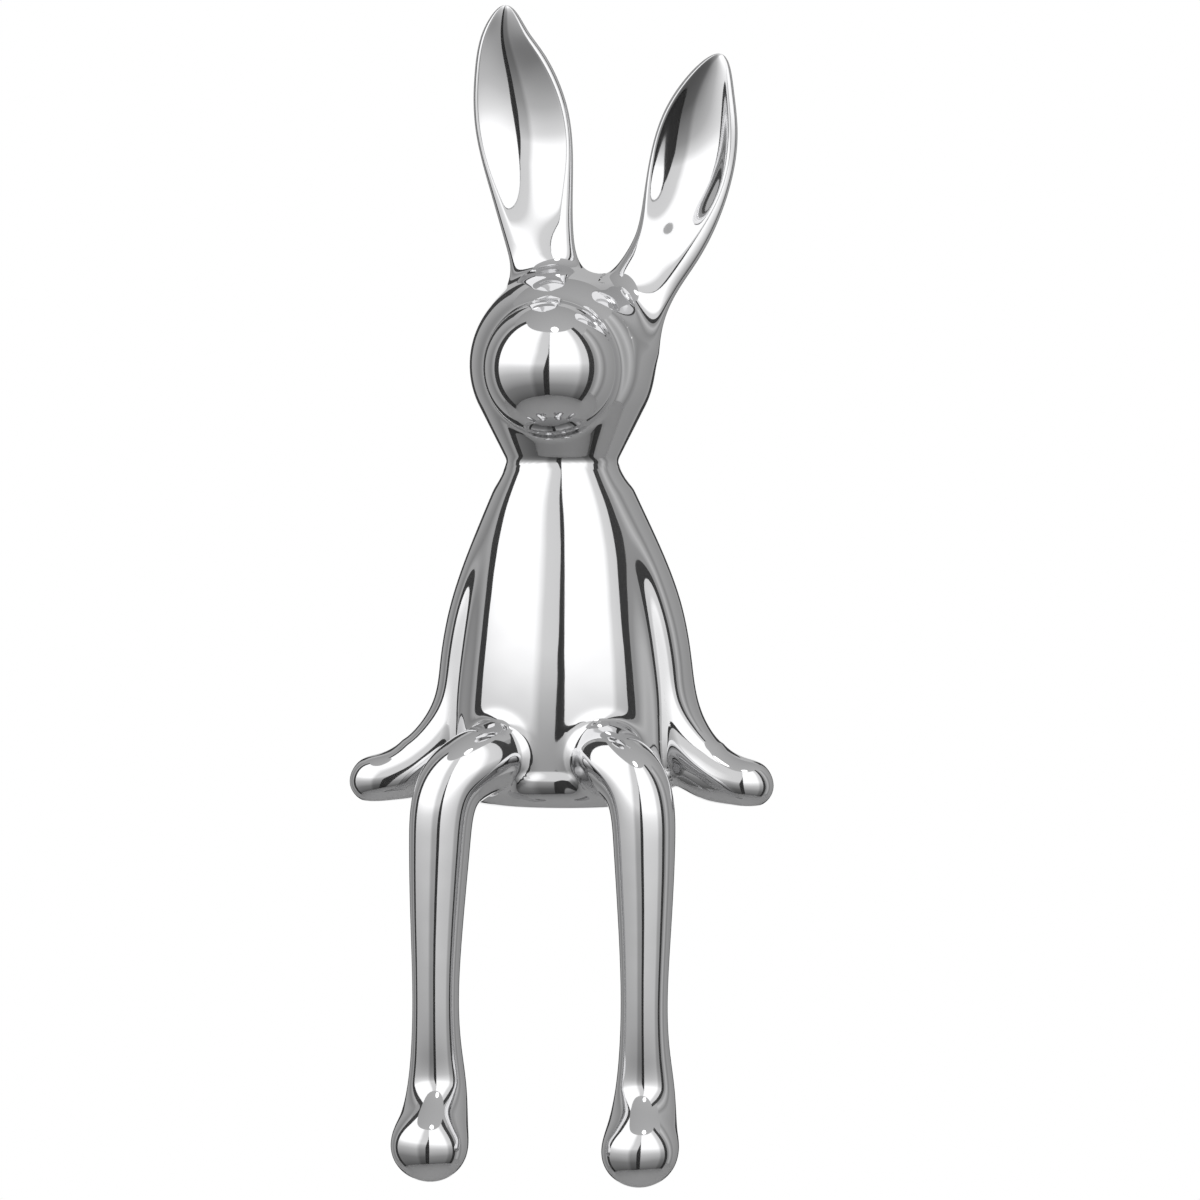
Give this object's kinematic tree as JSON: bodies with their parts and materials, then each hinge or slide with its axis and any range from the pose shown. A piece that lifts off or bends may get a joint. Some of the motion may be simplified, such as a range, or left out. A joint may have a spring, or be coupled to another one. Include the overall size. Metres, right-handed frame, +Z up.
{
  "type": "rabbit figurine",
  "caption": "Mirror-silver plated ceramic rabbit ornament that sits on a shelf edge with long legs hanging down, a ball muzzle, leaf ears and mitten hands.",
  "frame": {"origin": "centre of the seat's flat underside, which lies on the shelf", "axes": "+Z up along the figure, -Y the way the rabbit faces, +X to the rabbit's left"},
  "size_m": [0.0936, 0.072, 0.2518],
  "materials": {
    "silver_plated_ceramic": "polished"
  },
  "bodies": {
    "root": {"torso": "silver_plated_ceramic", "head": "silver_plated_ceramic", "left_ear": "silver_plated_ceramic", "right_ear": "silver_plated_ceramic", "left_arm": "silver_plated_ceramic", "right_arm": "silver_plated_ceramic", "left_leg": "silver_plated_ceramic", "right_leg": "silver_plated_ceramic", "tail": "silver_plated_ceramic"}
  },
  "joints": []
}
